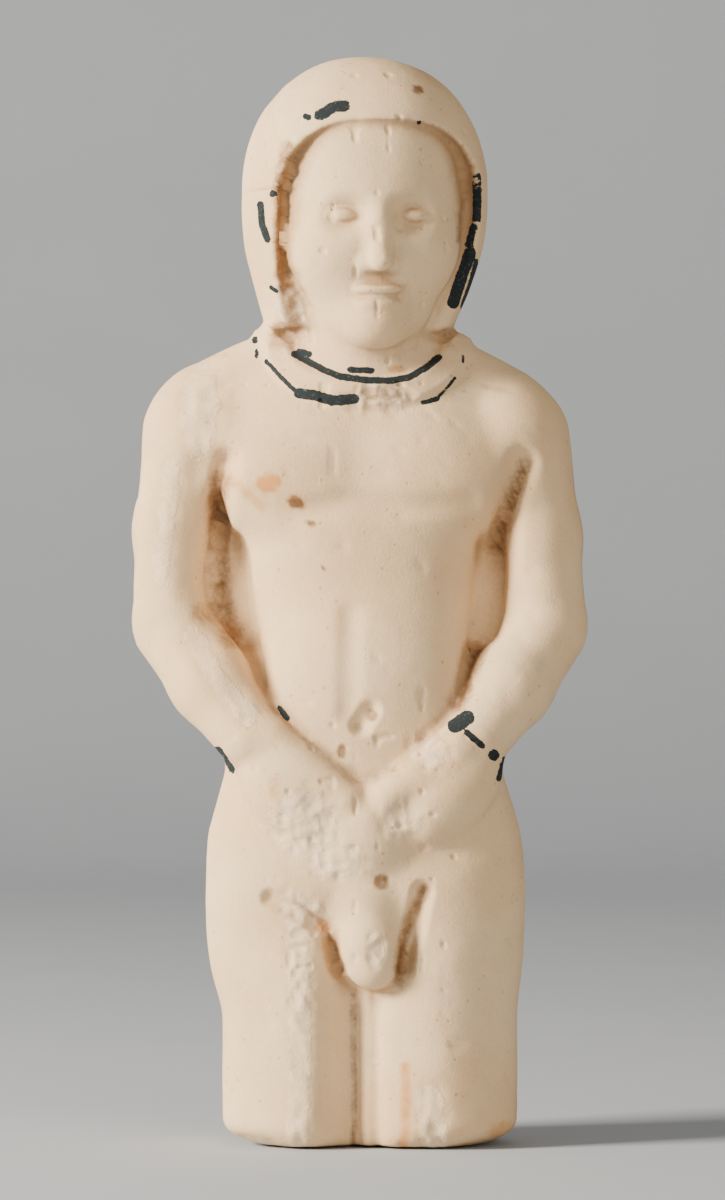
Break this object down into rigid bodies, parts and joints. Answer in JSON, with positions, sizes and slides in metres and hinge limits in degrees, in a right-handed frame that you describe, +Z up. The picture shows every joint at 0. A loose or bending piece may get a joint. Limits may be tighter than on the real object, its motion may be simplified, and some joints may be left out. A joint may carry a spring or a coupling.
{
  "type": "standing male statuette",
  "caption": "Small standing figure of a man in a round wig and a plain raised collar band, carved in one piece of pale stone, broken off at the thighs.",
  "frame": {"origin": "centre of the bounding box at the underside of the broken thighs", "axes": "+X to the viewer's right, -Y towards the front of the figure, +Z up towards the crown"},
  "size_m": [0.063, 0.0334, 0.15],
  "materials": {
    "limestone": "matte, worn, with dirt in the hollows and traces of dark paint"
  },
  "bodies": {
    "root": {"figure": "limestone"}
  },
  "joints": []
}
